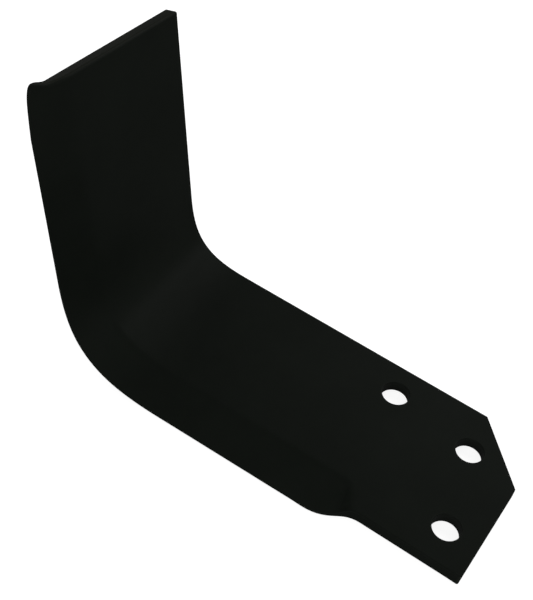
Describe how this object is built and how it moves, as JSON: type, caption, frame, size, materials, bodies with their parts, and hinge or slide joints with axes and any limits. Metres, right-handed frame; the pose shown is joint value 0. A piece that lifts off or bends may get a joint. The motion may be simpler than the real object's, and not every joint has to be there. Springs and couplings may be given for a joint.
{
  "type": "rotary tiller blade",
  "caption": "L-shaped rotary tiller blade: flat bolt-on shank with three holes and a bevelled cutting edge that wraps round the bend into an upright wing.",
  "frame": {"origin": "centre of the corner bolt hole, in the back face that is clamped to the rotor flange", "axes": "+X along the shank from the bolt end to the bend, +Y across it to the cutting edge, +Z out of the concave face, the way the wing rises"},
  "size_m": [0.2476, 0.1101, 0.1471],
  "materials": {
    "black_paint": "satin black paint over spring steel"
  },
  "bodies": {
    "root": {"tiller_blade": "black_paint"}
  },
  "joints": []
}
